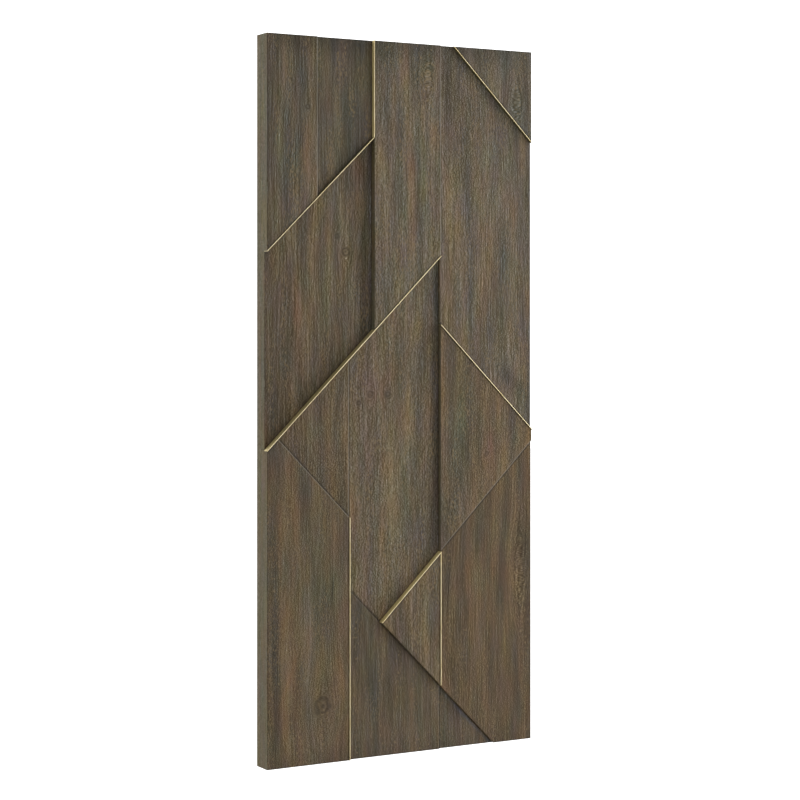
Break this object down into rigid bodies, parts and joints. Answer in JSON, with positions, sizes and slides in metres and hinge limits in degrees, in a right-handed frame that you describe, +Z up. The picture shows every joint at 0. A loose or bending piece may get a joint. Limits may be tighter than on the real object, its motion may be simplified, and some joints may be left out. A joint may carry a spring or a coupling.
{
  "type": "geometric wood wall panel",
  "caption": "Tall wooden wall panel of planks at different levels, cut at angles, with thin brass strips in its joints and a cleat recess in its back.",
  "frame": {"origin": "centre of the flat back, on the wall's surface", "axes": "+Z up along the panel's height; +Y into the wall, so the front faces -Y; +X to the right as seen from the front"},
  "size_m": [0.6096, 0.0508, 1.4224],
  "materials": {
    "weathered_wood": "weathered grey-brown wash, matt",
    "board_wood": "weathered grey-green wash, matt",
    "brushed_brass": "brushed along the strip, slightly aged"
  },
  "bodies": {
    "root": {"backing_board": "board_wood", "plank_top_left": "weathered_wood", "plank_top_second": "weathered_wood", "plank_left_upper": "weathered_wood", "plank_centre_upper": "weathered_wood", "plank_right_upper": "weathered_wood", "corner_top_right": "weathered_wood", "plank_right_middle": "weathered_wood", "plank_bottom_right": "weathered_wood", "corner_bottom": "weathered_wood", "triangle_left": "weathered_wood", "plank_bottom_left": "weathered_wood", "plank_middle": "weathered_wood", "triangle_centre": "weathered_wood", "plank_bottom_centre": "weathered_wood", "strip_left_rise": "brushed_brass", "strip_long_rise": "brushed_brass", "strip_corner": "brushed_brass", "strip_right_fall": "brushed_brass", "strip_triangle_rise": "brushed_brass", "strip_triangle_upright": "brushed_brass", "strip_bottom_upright": "brushed_brass", "strip_top_upright": "brushed_brass"}
  },
  "joints": []
}
